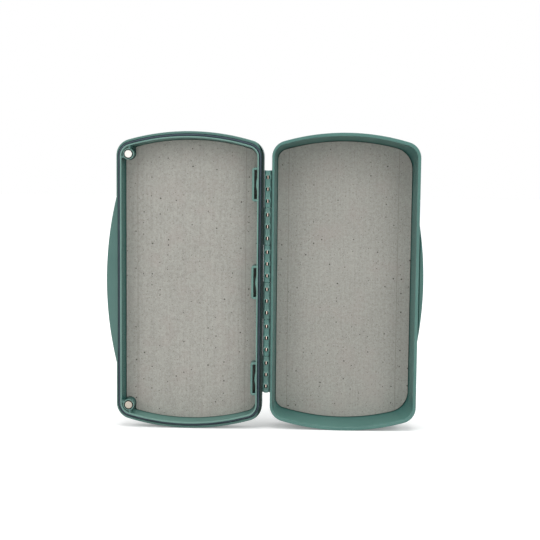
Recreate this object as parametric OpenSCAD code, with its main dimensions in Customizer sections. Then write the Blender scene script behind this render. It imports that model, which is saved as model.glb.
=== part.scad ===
// Fly box, opened flat like a book and standing on its bowed lower ends.
// +Z is up along the hinge, +X points from the base towards the lid, and both halves open towards -Y.
// The base is the shallow half at -X, with the seal, the magnets and the leaf clips.
// The lid is the deep half at +X. It swings about the hinge pin onto the base.

/* [Case] */
// Length of each half at the middle of its bowed ends
case_len = 184; // [160:1:220]
// Width of each half over its rim, without the grip tab
case_w = 90.5; // [80:0.5:110]
// Radius of the bowed ends
bow_r = 135; // [120:1:200]
// Radius of the four rim corners
corner_r = 10; // [8:0.5:14]
// Depth of the base from its rim to its back
base_depth = 10.5; // [9.5:0.5:16]
// Depth of the lid from its rim to its back
lid_depth = 20; // [16:0.5:30]
// Thickness of both floors
floor_t = 2; // [1.4:0.1:3]
// Rounding where the base's walls meet its back
base_back_r = 1.5; // [1:0.1:4]
// Rounding where the lid's walls meet its back
lid_back_r = 2.4; // [1:0.1:6]

/* [Base rim] */
// From the base's edge to the inner face of its lip, on the hinge side
lip_in_hinge = 4.6; // [4.2:0.1:6]
// From the base's edge to the inner face of its lip, on the grip side
lip_in_grip = 3.3; // [3.2:0.1:5]
// From the base's edge to the inner face of its lip, at the bowed ends
lip_in_end = 3.95; // [3.5:0.05:5]
// Thickness of the lip that enters the lid
lip_t = 0.9; // [0.6:0.1:1.2]
// Height of the lip above the rim
lip_h = 2; // [1:0.1:2.4]
// Width of the seal's groove around the lip
groove_w = 1.6; // [1.2:0.1:1.8]
// Depth of the seal's groove
groove_d = 1.4; // [1:0.1:2]
// Play of the seal in its groove on each side
seal_play = 0.05; // [0.02:0.01:0.1]
// How far the seal's crown lies below the rim
seal_sink = 0.1; // [0.08:0.02:0.3]
// Bevel along the base's hinge-side edge
hinge_bevel = 1.2; // [0.5:0.1:1.5]

/* [Lid rim] */
// Width of the lid's rim on the hinge side
rim_hinge = 1.4; // [1:0.1:2]
// Width of the lid's rim on the grip side
rim_grip = 1.9; // [1.2:0.1:2]
// Width of the lid's rim at the bowed ends
rim_end = 2; // [1.2:0.1:2.3]
// Depth of the straight land inside the lid's rim, which clears the lip
land_d = 3; // [2.8:0.1:6]

/* [Floors] */
// How far the base's grip-side wall leans in down to the floor
base_lean_grip = 1.85; // [0:0.05:3]
// How far the base's end walls lean in down to the floor
base_lean_end = 1.25; // [0:0.05:3]
// Corner radius of the base's floor
base_floor_r = 7; // [4:0.5:12]
// How far the lid's hinge-side wall leans in down to the floor
lid_lean_hinge = 1.8; // [0:0.05:3]
// How far the lid's grip-side wall leans in down to the floor
lid_lean_grip = 2.15; // [0:0.05:3]
// How far the lid's end walls lean in down to the floor
lid_lean_end = 3.3; // [0:0.05:4]
// Corner radius of the lid's floor
lid_floor_r = 12; // [8:0.5:16]

/* [Mats] */
// Thickness of the mats
mat_t = 1.6; // [1:0.1:3]
// Gap between a mat and the walls at the floor
mat_gap = 0.3; // [0.2:0.05:1]
// Thickness of the adhesive film under each mat
film_t = 0.2; // [0.1:0.05:0.4]
// How far the film stays inside the mat's edge
film_inset = 1; // [0.5:0.1:4]

/* [Hinge] */
// Gap between the two halves when open
hinge_gap = 4.8; // [4.4:0.1:6]
// How far each rim lies behind the hinge axis
rim_set = 0.05; // [0.04:0.01:0.1]
// Outer radius of the knuckles
knuckle_r = 1.9; // [1.6:0.05:2]
// Length of the whole row of knuckles
hinge_len = 137.4; // [120:0.2:142]
// Number of knuckles, shared by lid and base in turn from the top
knuckle_n = 6; // [4:2:8]
// Gap between neighbouring knuckles
knuckle_play = 0.2; // [0.1:0.05:0.4]
// Radius of the hinge pin
pin_r = 0.75; // [0.5:0.05:0.9]
// Radial clearance of the pin in the base's knuckles
pin_hold = 0.02; // [0.01:0.01:0.05]
// Radial clearance of the pin in the lid's knuckles
pin_run = 0.06; // [0.02:0.01:0.1]
// How far each pin end lies inside the outer knuckle faces
pin_end_sink = 0.5; // [0:0.1:2]
// Windows in the front of each knuckle
window_n = 3; // [1:1:3]
// Distance between windows
window_pitch = 7.25; // [6:0.05:7.5]
// Width of a window across the hinge
window_w = 2.6; // [1.8:0.1:2.8]
// Height of a window along the hinge
window_h = 2.2; // [1.5:0.1:3]

/* [Grip tabs] */
// Radius of the curved edge of both grip tabs
tab_edge_r = 220; // [150:5:300]
// How far the base's tab reaches past its rim
base_tab_reach = 6.2; // [3:0.1:9]
// How far the lid's tab reaches past its rim
lid_tab_reach = 3.3; // [2:0.1:7]
// Thickness of the grip tabs
tab_t = 2; // [1.4:0.1:3]
// How far the lid's tab lies behind its rim
lid_tab_set = 3.5; // [2:0.1:6]

/* [Magnets] */
// Radius of the magnets
magnet_r = 2.4; // [1.8:0.1:3]
// Thickness of the magnets
magnet_t = 3; // [1.5:0.5:4]
// Gap around a magnet in its pocket
magnet_gap = 0.04; // [0.02:0.01:0.1]
// Outer radius of the round magnet bosses
boss_r = 3.9; // [3.6:0.1:4.2]
// Wall of the raised ring around each magnet
boss_wall = 0.95; // [0.5:0.05:1.1]
// Depth of the recess inside the raised ring
boss_recess = 0.5; // [0.2:0.1:1]
// How far the top of the ring lies below the lip's edge
boss_sink = 0.4; // [0.1:0.1:1.5]
// Distance of the boss centres from the base's grip-side edge
boss_in = 7.6; // [7.4:0.1:12]
// Distance of the boss centres from the middle of each bowed end
boss_from_end = 14.5; // [14:0.5:30]
// Thickness of the two webs between each boss and the lip
web_t = 1.2; // [0.8:0.1:1.6]
// Angle of the line midway between the two webs, from straight outwards towards the bowed end
web_mid_angle = 36; // [20:1:50]
// Angle from that line to each web
web_angle = 63; // [45:1:75]

/* [Leaf clips] */
// Number of leaf clips along the hinge-side lip
clip_n = 3; // [1:1:3]
// Distance between leaf clips
clip_pitch = 60; // [40:1:62]
// Length of a leaf clip
clip_len = 20.6; // [14:0.2:30]
// How far a leaf clip stands in from the lip
clip_out = 3; // [2.6:0.1:4]
// Wall thickness of a leaf clip
clip_wall = 1.3; // [0.8:0.1:1.6]
// Gap between a leaf clip and the mat below it
clip_rise = 0.4; // [0.3:0.1:2]
// Length of the snap bump inside each leaf clip
bump_len = 8; // [4:0.5:12]
// Height of the snap bump
bump_h = 0.7; // [0.3:0.1:1]
// Depth of the snap bump down the slot
bump_d = 4; // [2:0.5:5]

/* [Hidden] */

half_gap = hinge_gap / 2;
half_len = case_len / 2;
edge_x = half_gap + case_w;
base_back = rim_set + base_depth;
lid_back = rim_set + lid_depth;
lip_top = rim_set - lip_h;
base_floor = base_back - floor_t;
lid_floor = lid_back - floor_t;
base_mat_top = base_floor - film_t - mat_t;
boss_top = lip_top + boss_sink;
boss_x = edge_x - boss_in;
boss_z = half_len - boss_from_end;
knuckle_pitch = hinge_len / knuckle_n;
// The part's origin is at the middle of its box, on the surface it stands on
origin_x = (lid_tab_reach - base_tab_reach) / 2;
origin_y = (lip_top + lid_back) / 2;

// Steps of each corner arc, of each bowed end and of each back rounding
corner_steps = 10;
bow_steps = 20;
round_steps = 5;
// Sides of a full circle
$fn = 72;
// Overshoot of a cut past the surface it opens
cut = 1;

// Points of an arc about c from angle a0 to a1
function arc(c, r, a0, a1, steps) =
    [for (i = [0:steps]) let (a = a0 + (a1 - a0) * i / steps) [c[0] + r * cos(a), c[1] + r * sin(a)]];

// Points strictly inside the same arc
function inner_arc(c, r, a0, a1, steps) =
    [for (i = [1:steps - 1]) let (a = a0 + (a1 - a0) * i / steps) [c[0] + r * cos(a), c[1] + r * sin(a)]];

// Upper half of an outline with straight sides, a bowed end and corners tangent to both
function upper_outline(x0, x1, half, bow, r) =
    let (
        mid = (x0 + x1) / 2,
        reach = (x1 - x0) / 2 - r,
        lean = asin(reach / (bow - r)),
        bow_z = half - bow,
        corner_z = bow_z + (bow - r) * cos(lean)
    )
    concat(
        arc([mid + reach, corner_z], r, 0, 90 - lean, corner_steps),
        inner_arc([mid, bow_z], bow, 90 - lean, 90 + lean, bow_steps),
        arc([mid - reach, corner_z], r, 90 + lean, 180, corner_steps)
    );

// Whole outline, anticlockwise in X and Z
function outline(x0, x1, half, bow, r) =
    let (top = upper_outline(x0, x1, half, bow, r), last = len(top) - 1)
    concat(top, [for (i = [0:last]) [top[last - i][0], -top[last - i][1]]]);

// Outline of one half, inset from its edges on the hinge side, the grip side and at the ends
function half_outline(hinge, grip, end, r) =
    outline(half_gap + hinge, edge_x - grip, half_len - end, bow_r - end, r);

// Outline parallel to the edge of one half
function edge_outline(inset) = half_outline(inset, inset, inset, corner_r - inset);

// Outline parallel to the inner face of the base's lip, grow further out
lip_corner_r = corner_r - lip_in_end + 0.5;
function lip_outline(grow) =
    half_outline(lip_in_hinge - grow, lip_in_grip - grow, lip_in_end - grow, lip_corner_r + grow);

// Outlines of the two floors, shrunk by inset
function base_floor_outline(inset) =
    half_outline(
        lip_in_hinge + inset, lip_in_grip + base_lean_grip + inset,
        lip_in_end + base_lean_end + inset, base_floor_r - inset
    );
function lid_floor_outline(inset) =
    half_outline(
        rim_hinge + lid_lean_hinge + inset, rim_grip + lid_lean_grip + inset,
        rim_end + lid_lean_end + inset, lid_floor_r - inset
    );

// Opening outline inside the lid's rim
lid_mouth = half_outline(rim_hinge, rim_grip, rim_end, corner_r - rim_end);

// Flat piece with the given outline in X and Z, from y0 back to y1
module plate(points, y0, y1) {
    translate([0, y1, 0])
        rotate([90, 0, 0])
            linear_extrude(y1 - y0)
                polygon(points);
}

// Solid through a row of sections, each [y, outline], from the front one to the back one
module loft(sections) {
    n = len(sections[0][1]);
    last = len(sections) - 1;
    points = [for (s = sections) for (p = s[1]) [p[0], s[0], p[1]]];
    sides = [
        for (k = [0:last - 1]) for (i = [0:n - 1])
            let (j = (i + 1) % n, a = k * n, b = (k + 1) * n)
            each [[a + i, a + j, b + j], [a + i, b + j, b + i]]
    ];
    front = [for (i = [0:n - 1]) n - 1 - i];
    back = [for (i = [0:n - 1]) last * n + i];
    polyhedron(points, concat([front, back], sides), convexity = 4);
}

// Solid body of one half, with its back edge rounded
module half_body(back, back_r) {
    rounding = [
        for (i = [0:round_steps])
            let (a = 90 * i / round_steps)
            [back - back_r * (1 - sin(a)), edge_outline(back_r * (1 - cos(a)))]
    ];
    loft(concat([[rim_set, edge_outline(0)]], rounding));
}

// Flat grip tab with a curved edge, front face at y0, rooted in a wall of the given thickness
module grip_tab(reach, y0, wall) {
    translate([0, y0 + tab_t, 0])
        rotate([90, 0, 0])
            linear_extrude(tab_t)
                intersection() {
                    translate([edge_x + reach - tab_edge_r, 0])
                        circle(r = tab_edge_r, $fn = 360);
                    translate([edge_x - wall / 2, -half_len])
                        square([reach + wall / 2 + cut, case_len]);
                }
}

// Height of the middle of knuckle i, counted from the top
function knuckle_z(i) = hinge_len / 2 - (i + 0.5) * knuckle_pitch;

// Barrel and web of knuckle i
module knuckle(i) {
    long = knuckle_pitch - knuckle_play;
    translate([0, 0, knuckle_z(i) - long / 2]) {
        cylinder(r = knuckle_r, h = long);
        translate([0, rim_set, 0])
            cube([half_gap + hinge_bevel, knuckle_r - rim_set, long]);
    }
}

// Row of windows through one side of a knuckle: way is -1 for the front and 1 for the back
module windows(i, count, way) {
    for (w = [0:count - 1])
        translate([-window_w / 2, 0, knuckle_z(i) + (w - (count - 1) / 2) * window_pitch - window_h / 2])
            mirror([0, way < 0 ? 1 : 0, 0])
                translate([0, -pin_r / 2, 0])
                    cube([window_w, knuckle_r + pin_r, window_h]);
}

// Cuts of one half's knuckles: first is 0 for the lid and 1 for the base
module knuckle_cuts(first, clearance) {
    for (i = [first:2:knuckle_n - 1]) {
        translate([0, 0, knuckle_z(i) - knuckle_pitch / 2])
            cylinder(r = pin_r + clearance, h = knuckle_pitch);
        windows(i, window_n, -1);
        if (window_n > 1) windows(i, window_n - 1, 1);
    }
}

module knuckles(first) {
    for (i = [first:2:knuckle_n - 1]) knuckle(i);
}

// Space inside the base, down to its floor
module base_hollow() {
    loft([
        [lip_top - cut, lip_outline(0)],
        [rim_set, lip_outline(0)],
        [base_floor, base_floor_outline(0)]
    ]);
}

// Space inside the lid, down to its floor
module lid_hollow() {
    loft([
        [rim_set - cut, lid_mouth],
        [rim_set + land_d, lid_mouth],
        [lid_floor, lid_floor_outline(0)]
    ]);
}

// Groove around the lip for the seal
module seal_groove() {
    difference() {
        plate(lip_outline(lip_t + groove_w), rim_set - cut, rim_set + groove_d);
        plate(lip_outline(lip_t), lip_top - cut, base_back);
    }
}

// Bevel along the hinge-side edge of the base, between its corners
module hinge_side_bevel() {
    long = 2 * (half_len - 2 * corner_r);
    translate([half_gap, rim_set, -long / 2])
        linear_extrude(long)
            polygon([[-cut, -cut], [hinge_bevel + cut, -cut], [hinge_bevel, 0], [0, hinge_bevel], [-cut, hinge_bevel]]);
}

// Round magnet boss with its two webs: side is 1 for the upper one and -1 for the lower one
module magnet_boss(side) {
    translate([boss_x, 0, side * boss_z])
        rotate([-90, 0, 0])
            translate([0, 0, boss_top])
                cylinder(r = boss_r, h = base_back - floor_t / 2 - boss_top);
    intersection() {
        translate([boss_x, boss_top, side * boss_z])
            for (turn = [-web_angle, web_angle])
                rotate([0, -side * (web_mid_angle + turn), 0])
                    translate([0, 0, -web_t / 2])
                        cube([2 * boss_in, base_back - floor_t / 2 - boss_top, web_t]);
        plate(lip_outline(lip_t / 2), lip_top, base_back);
    }
}

// Pocket of a magnet and the recess inside the raised ring
module magnet_pocket(side) {
    translate([boss_x, 0, side * boss_z])
        rotate([-90, 0, 0]) {
            translate([0, 0, boss_top - cut])
                cylinder(r = boss_r - boss_wall, h = boss_recess + cut);
            translate([0, 0, boss_top])
                cylinder(r = magnet_r + magnet_gap, h = magnet_t);
        }
}

// Leaf clip: a slotted loop on the inner face of the hinge-side lip, with a snap bump in its slot
module leaf_clip() {
    x0 = half_gap + lip_in_hinge;
    y1 = base_mat_top - clip_rise;
    slot_w = clip_out - clip_wall;
    slot_len = clip_len - 2 * clip_wall;
    bump_r = (bump_len * bump_len / 4 + bump_h * bump_h) / (2 * bump_h);
    difference() {
        translate([x0 - lip_t / 2, lip_top, -clip_len / 2])
            cube([clip_out + lip_t / 2, y1 - lip_top, clip_len]);
        translate([x0, lip_top - cut, -slot_len / 2])
            cube([slot_w, y1 - lip_top + 2 * cut, slot_len]);
    }
    intersection() {
        translate([x0 + bump_h - bump_r, lip_top, 0])
            rotate([-90, 0, 0])
                cylinder(r = bump_r, h = bump_d, $fn = 180);
        translate([x0 - lip_t / 2, lip_top, -bump_len / 2])
            cube([lip_t / 2 + bump_h, bump_d, bump_len]);
    }
}

module leaf_clips() {
    for (i = [0:clip_n - 1])
        translate([0, 0, (i - (clip_n - 1) / 2) * clip_pitch])
            leaf_clip();
}

// Places a half modelled towards +X on the base's side, or leaves it on the lid's side
module on_base() {
    translate([-origin_x, -origin_y, half_len])
        mirror([1, 0, 0])
            children();
}

module on_lid() {
    translate([-origin_x, -origin_y, half_len])
        children();
}

module base_tray() {
    color([0.25, 0.39, 0.36])
        on_base()
            difference() {
                union() {
                    difference() {
                        union() {
                            difference() {
                                half_body(base_back, base_back_r);
                                seal_groove();
                                hinge_side_bevel();
                            }
                            plate(lip_outline(lip_t), lip_top, base_floor);
                            grip_tab(base_tab_reach, rim_set, lip_in_grip - lip_t - groove_w);
                            knuckles(1);
                        }
                        base_hollow();
                    }
                    for (side = [-1, 1]) magnet_boss(side);
                    leaf_clips();
                }
                for (side = [-1, 1]) magnet_pocket(side);
                knuckle_cuts(1, pin_hold);
            }
}

module lid_tray() {
    color([0.25, 0.42, 0.38])
        on_lid()
            difference() {
                union() {
                    half_body(lid_back, lid_back_r);
                    grip_tab(lid_tab_reach, rim_set + lid_tab_set, rim_grip);
                    knuckles(0);
                }
                lid_hollow();
                knuckle_cuts(0, pin_run);
            }
}

// Seal cord, flush in its groove
module rim_seal() {
    color([0.22, 0.27, 0.36])
        on_base()
            difference() {
                plate(lip_outline(lip_t + groove_w - seal_play), rim_set + seal_sink, rim_set + groove_d);
                plate(lip_outline(lip_t + seal_play), rim_set - cut, base_back);
            }
}

module hinge_pin() {
    long = hinge_len - 2 * pin_end_sink;
    color([0.78, 0.76, 0.74])
        on_base()
            translate([0, 0, -long / 2])
                cylinder(r = pin_r, h = long);
}

// Mat of the base, cut away around the two magnet bosses
module base_mat() {
    color([0.6, 0.6, 0.57])
        on_base()
            difference() {
                plate(base_floor_outline(mat_gap), base_mat_top, base_floor - film_t);
                for (side = [-1, 1]) boss_clearance(side, mat_gap);
            }
}

module lid_mat() {
    color([0.6, 0.6, 0.57])
        on_lid()
            plate(lid_floor_outline(mat_gap), lid_floor - film_t - mat_t, lid_floor - film_t);
}

// Room for a boss and its webs in the mat and the film, open towards the corner
module boss_clearance(side, gap) {
    reach = boss_r + gap;
    translate([boss_x, 0, side * boss_z])
        rotate([-90, 0, 0])
            cylinder(r = reach, h = base_back);
    translate([boss_x - boss_r, 0, side * boss_z])
        mirror([0, 0, side < 0 ? 1 : 0])
            translate([0, 0, -reach])
                cube([boss_r + boss_in, base_back, reach + boss_from_end]);
}

module base_film() {
    color([0.85, 0.83, 0.75])
        on_base()
            difference() {
                plate(base_floor_outline(mat_gap + film_inset), base_floor - film_t, base_floor);
                for (side = [-1, 1]) boss_clearance(side, mat_gap + film_inset);
            }
}

module lid_film() {
    color([0.85, 0.83, 0.75])
        on_lid()
            plate(lid_floor_outline(mat_gap + film_inset), lid_floor - film_t, lid_floor);
}

module magnet(side) {
    color([0.86, 0.86, 0.84])
        on_base()
            translate([boss_x, 0, side * boss_z])
                rotate([-90, 0, 0])
                    translate([0, 0, boss_top])
                        cylinder(r = magnet_r, h = magnet_t);
}

module upper_magnet() {
    magnet(1);
}

module lower_magnet() {
    magnet(-1);
}

base_tray();
lid_tray();
rim_seal();
hinge_pin();
base_mat();
lid_mat();
base_film();
lid_film();
upper_magnet();
lower_magnet();
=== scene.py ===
# %% [markdown]
# # A slim fly box, opened flat
# The real object is a pocket box for fishing flies. A shallow base and a deeper lid are moulded in dark
# teal plastic, hinged on a wire, and each holds a glued-in foam mat. This lesson dresses the packed CAD
# model: it loads the model as a fixed frame, works out each visible piece again as a smooth surface
# with numpy, and gives every piece a procedural finish. All lengths in the formulas are millimetres,
# measured from the middle of the hinge axis, for a half that reaches towards +X. The last step of each
# piece turns them into metres in the frame's place.

# %% Load the packed model
import math

import bpy
import numpy as np
from mathutils import Matrix


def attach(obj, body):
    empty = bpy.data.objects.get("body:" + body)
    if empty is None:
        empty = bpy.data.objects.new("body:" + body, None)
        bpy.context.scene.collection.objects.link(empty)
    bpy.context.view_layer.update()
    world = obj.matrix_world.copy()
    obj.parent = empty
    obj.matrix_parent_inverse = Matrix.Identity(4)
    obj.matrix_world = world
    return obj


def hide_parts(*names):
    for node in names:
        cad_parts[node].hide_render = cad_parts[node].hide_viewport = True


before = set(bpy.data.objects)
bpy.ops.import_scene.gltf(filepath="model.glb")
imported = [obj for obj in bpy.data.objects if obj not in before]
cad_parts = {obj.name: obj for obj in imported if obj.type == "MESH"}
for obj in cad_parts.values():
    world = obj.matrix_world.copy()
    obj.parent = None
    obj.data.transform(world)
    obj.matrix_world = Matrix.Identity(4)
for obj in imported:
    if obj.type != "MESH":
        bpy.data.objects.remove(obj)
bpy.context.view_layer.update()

print("nodes", sorted(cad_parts))

# %% [markdown]
# ## The camera
# A photograph shows a box like this from about 0.8 m, nearly straight on. A camera could be aimed with
# a Track To constraint, but the photograph's small turn, tilt and roll are known as angles, so its
# three axes are worked out and put straight into its matrix.

# %% Camera
CAMERA_AT = (0.0305, -0.7942, 0.1814)
TURN, TILT, ROLL = math.radians(1.99), math.radians(5.94), math.radians(0.59)
LENS, SENSOR, NEAREST, FARTHEST = 85.75, 36.0, 0.01, 50.0


def camera_axes(turn, tilt, roll):
    """Right, up and back directions: look along +Y, turn left, tilt down, then roll about the view."""
    level = math.cos(tilt)
    ahead = np.array([-math.sin(turn) * level, math.cos(turn) * level, -math.sin(tilt)])
    right = np.array([math.cos(turn), math.sin(turn), 0.0])
    up = np.cross(right, ahead)
    rolled_right = math.cos(roll) * right + math.sin(roll) * up
    rolled_up = math.cos(roll) * up - math.sin(roll) * right
    return rolled_right, rolled_up, -ahead


def pose(thing, axes, at):
    """Writes an object's three axes and its place into its matrix, one column each."""
    columns = np.eye(4)
    columns[:3] = np.column_stack([*axes, at])
    thing.matrix_world = Matrix(columns.tolist())


lens = bpy.data.cameras.new("photo_camera")
lens.lens, lens.sensor_width = LENS, SENSOR
lens.clip_start, lens.clip_end = NEAREST, FARTHEST
camera = bpy.data.objects.new("photo_camera", lens)
bpy.context.scene.collection.objects.link(camera)
view_axes = camera_axes(TURN, TILT, ROLL)
pose(camera, view_axes, CAMERA_AT)
bpy.context.scene.camera = camera
print("camera looks along", np.round(-view_axes[2], 3))

# %% [markdown]
# ## From arrays to shells
# Each shape below is a grid of points: closed rings that follow each other along a profile. Blender's
# own modelling tools could extrude and bevel them by hand, but a grid worked out with numpy is exact
# and can be changed by one number. These two helpers turn rings into faces and close both ends.


# %% Rings, caps and shells
def ring_faces(rings, points, looped=False):
    """Quads between neighbouring rings. Point p of ring r is number r * points + p."""
    r = np.arange(rings if looped else rings - 1)[:, None]
    p = np.arange(points)[None, :]
    here, after = r * points, (r + 1) % rings * points
    step = (p + 1) % points
    quads = np.stack([here + p, here + step, after + step, after + p], axis=-1)
    return quads.reshape(-1, 4)


def shell(rings, looped=False, wear=0.4):
    """A closed shell from rings of shape (rings, points, 3): quads along, and a flat cap at each end.
    Rubbing with painted light, from 0, the deep colour, which also stands as painted shade in hollows, to 1
    where it is rubbed and a painted sheen is brightest, is one number, one for each ring or one for each
    point."""
    count, points = rings.shape[:2]
    wear = np.asarray(wear, float)
    wear = wear if wear.ndim == 2 else wear.reshape(-1, 1)
    wear = np.broadcast_to(wear, (count, points)).reshape(-1)
    faces = ring_faces(count, points, looped).tolist()
    if not looped:
        faces.append(list(range(points - 1, -1, -1)))
        faces.append(list(range((count - 1) * points, count * points)))
    return rings.reshape(-1, 3), faces, wear


print("faces between three rings of four points", len(ring_faces(3, 4)))

# %% [markdown]
# ## From shells to pieces
# A piece has to face outwards, lie exactly where its solid lies and move with its half of the box.
# Modifiers could mirror the base's half and flip what they turn inside out, but a piece whose mesh is
# final is simpler to check. So each shell's signed volume tells whether it is inside out, and one sum
# on the points mirrors and moves them. A finish reads each point's rubbing, with its painted sheen and
# shade, as an attribute.

# %% Pieces
HINGE_AT = np.array([1.45, -9.05, 92.0])
WAY = {"base": -1.0, "lid": 1.0}
SHARP_ANGLE = math.radians(34.0)


def volume(points, faces):
    """Signed volume: every face is a fan of triangles, and each adds a tetrahedron from the origin."""
    fans = np.array([[f[0], f[k], f[k + 1]] for f in faces for k in range(1, len(f) - 1)])
    a, b, c = points[fans[:, 0]], points[fans[:, 1]], points[fans[:, 2]]
    return float(np.einsum("ij,ij->i", a, np.cross(b, c)).sum() / 6)


def in_frame(points, body):
    """Millimetres from the hinge to metres in the frame. The base is the mirrored half."""
    return (points * [WAY[body], 1, 1] + HINGE_AT) / 1000


def make_piece(name, body, shells, finish, node):
    """Joins closed shells into one piece, outside out, that rides on its body and replaces a CAD node."""
    all_points, all_faces, start = [], [], 0
    for points, faces, wear in shells:
        placed = in_frame(points, body)
        turned = volume(placed - placed.mean(0), faces) < 0
        all_points.append(placed)
        all_faces += [[start + k for k in (f[::-1] if turned else f)] for f in faces]
        start += len(points)
    mesh = bpy.data.meshes.new(name)
    mesh.from_pydata(np.concatenate(all_points).tolist(), [], all_faces)
    rubbed_and_lit = mesh.attributes.new("wear", "FLOAT", "POINT")
    rubbed_and_lit.data.foreach_set("value", np.concatenate([wear for *_, wear in shells]).astype(np.float32))
    mesh.update()
    mesh.shade_smooth()
    mesh.set_sharp_from_angle(angle=SHARP_ANGLE)
    mesh.materials.append(finish)
    piece = bpy.data.objects.new(name, mesh)
    bpy.context.scene.collection.objects.link(piece)
    evened = piece.modifiers.new("evened_shading", "WEIGHTED_NORMAL")
    evened.keep_sharp = True
    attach(piece, body)
    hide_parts(node)
    print(f"{name}: {len(mesh.vertices)} points, {len(mesh.polygons)} faces")
    return piece


print("the hinge axis in the frame, millimetres", HINGE_AT)

# %% [markdown]
# ## Writing finishes as sums
# A procedural finish is a small network of nodes. Nodes can be placed by hand in the Shading editor,
# but formulas are easier to read and to repeat. `Wire` wraps one socket, so that `1 - mask` adds the
# Math node that it needs.


# %% Wires
class Wire:
    """One output socket. Arithmetic on it adds Math nodes."""

    def __init__(self, nodes, socket):
        self.nodes, self.socket = nodes, socket

    def math(self, operation, first, second=0.0):
        """One Math node on one or two values."""
        return self.nodes.node("ShaderNodeMath", {"operation": operation}, {0: first, 1: second})

    def __add__(self, other):
        return self.math("ADD", self, other)

    def __radd__(self, other):
        return self.math("ADD", other, self)

    def __sub__(self, other):
        return self.math("SUBTRACT", self, other)

    def __rsub__(self, other):
        return self.math("SUBTRACT", other, self)

    def __mul__(self, other):
        return self.math("MULTIPLY", self, other)

    def __rmul__(self, other):
        return self.math("MULTIPLY", other, self)

    def __truediv__(self, other):
        return self.math("DIVIDE", self, other)

    def __rtruediv__(self, other):
        return self.math("DIVIDE", other, self)

    def clamped(self):
        """The value held between 0 and 1."""
        return self.nodes.node("ShaderNodeClamp", {}, {"Value": self})

    def absolute(self):
        """The value without its sign."""
        return self.math("ABSOLUTE", self)

    def or_more(self, other):
        """The larger of the two values."""
        return self.math("MAXIMUM", self, other)


print("a wire's methods", [name for name in vars(Wire) if not name.startswith("_")])

# %% [markdown]
# ## Node trees
# Materials, the floor and the world all have a node tree. One method could be written for each kind of
# node, but they all need the same three things: settings, then values, then links. So `Nodes.node`
# adds any node, and the other methods are the patterns that come up often.


# %% Node trees
class Nodes:
    """One node tree."""

    def __init__(self, tree):
        self.tree = tree

    def node(self, kind, settings, sockets, output=0):
        """Adds a node: its settings first, then a value or a wire for each named socket."""
        made = self.tree.nodes.new(kind)
        for key, value in settings.items():
            setattr(made, key, value)
        for key, value in sockets.items():
            if isinstance(value, Wire):
                self.tree.links.new(value.socket, made.inputs[key])
            else:
                made.inputs[key].default_value = value
        return Wire(self, made.outputs[output])

    def lead(self, taker, **wires):
        """Leads wires into the named sockets of a node that the tree already has."""
        for socket, wire in wires.items():
            self.tree.links.new(wire.socket, self.tree.nodes[taker].inputs[socket.replace("_", " ")])

    def place(self):
        """Object coordinates, which are metres in the frame because every piece sits at the origin."""
        return self.node("ShaderNodeTexCoord", {}, {}, "Object")

    def axes(self, place):
        """The three coordinates of a place, one wire each."""
        split = self.node("ShaderNodeSeparateXYZ", {}, {0: place})
        return [Wire(self, output) for output in split.socket.node.outputs]

    def noise(self, place, size_mm, detail=2.0, stretch=(1, 1, 1)):
        """Soft noise between about 0.3 and 0.7, in lumps size_mm across that stretch draws out."""
        scale = [1000 / (size_mm * s) for s in stretch]
        spread = self.node("ShaderNodeVectorMath", {"operation": "MULTIPLY"}, {0: place, 1: scale})
        return self.node("ShaderNodeTexNoise", {}, {"Vector": spread, "Scale": 1.0, "Detail": detail})

    def mixed(self, share, first, second):
        """A colour between two colours."""
        return self.node("ShaderNodeMix", {"data_type": "RGBA"}, {0: share, 6: first, 7: second}, 2)

    def ramp(self, value, low, high, start=0.0, end=1.0):
        """Low where the value is start, high where it is end, in proportion between and level beyond."""
        ends = {"From Min": start, "From Max": end, "To Min": low, "To Max": high}
        return self.node("ShaderNodeMapRange", {}, {"Value": value, **ends})

    def bump(self, height, depth_mm):
        """Bumps of that depth from a height between 0 and 1."""
        depth = {"Strength": 1.0, "Distance": depth_mm / 1000}
        return self.node("ShaderNodeBump", {}, {"Height": height, **depth})


print("patterns", [name for name in vars(Nodes) if not name.startswith("_")])

# %% [markdown]
# ## Finishes
# Every surface of the box is plastic, rubber, foam or metal, and the Principled shader can be all of
# them. Its sockets could be set in the Shading editor. Here what is the same all over is a number given
# by name, and what varies is a wire led in later. Colours are written as a screen shows them, because
# that is how a photograph is read, and turned into the linear values that a shader takes.


# %% Finishes
class Finish(Nodes):
    """A material whose Principled shader takes uniform values now and wires for what varies later."""

    def __init__(self, name, **uniform):
        self.material = bpy.data.materials.new(name + "_finish")
        self.material.use_nodes = True
        super().__init__(self.material.node_tree)
        for socket, value in uniform.items():
            shader = self.tree.nodes["Principled BSDF"]
            shader.inputs[socket.replace("_", " ")].default_value = value

    def feeds(self, **wires):
        """Leads wires into the shader and gives the material back."""
        self.lead("Principled BSDF", **wires)
        return self.material


def linear(red, green, blue):
    """A screen colour from 0 to 255 as the linear colour that a shader socket takes: s / 12.92 when the
    share s is small, else ((s + 0.055) / 1.055) ** 2.4."""
    screen = np.array([red, green, blue]) / 255
    low, high = screen / 12.92, ((screen + 0.055) / 1.055) ** 2.4
    return (*np.where(screen <= 0.04045, low, high).tolist(), 1.0)


print("teal rim as a linear colour", np.round(linear(112, 150, 140), 3))

# %% [markdown]
# ## Moulded teal plastic
# Both trays are injection moulded in one opaque colour. A flat colour would look like paint, so the
# finish has three scales: broad, weak clouds from the way the melt flowed, a fine grain from the
# spark-eroded mould, and rims rubbed a little paler by pockets and hands. That paler share is partly
# painted light: a painted sheen and highlights on rims, lip, tabs and barrels, and painted shade where
# recesses, slots, windows and inner walls are left at the deep colour.

# %% Plastic finish
CLOUD_MM, GRAIN_MM, PIT_MM, GRAIN_DEPTH_MM = 26.0, 0.45, 0.16, 0.018
# Each half's deep and pale teal: pale for rubbing and for the painted sheen, deep for the painted shade.
BASE_TEAL, LID_TEAL = ((46, 88, 83), (104, 140, 131)), ((44, 88, 84), (102, 146, 136))


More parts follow.
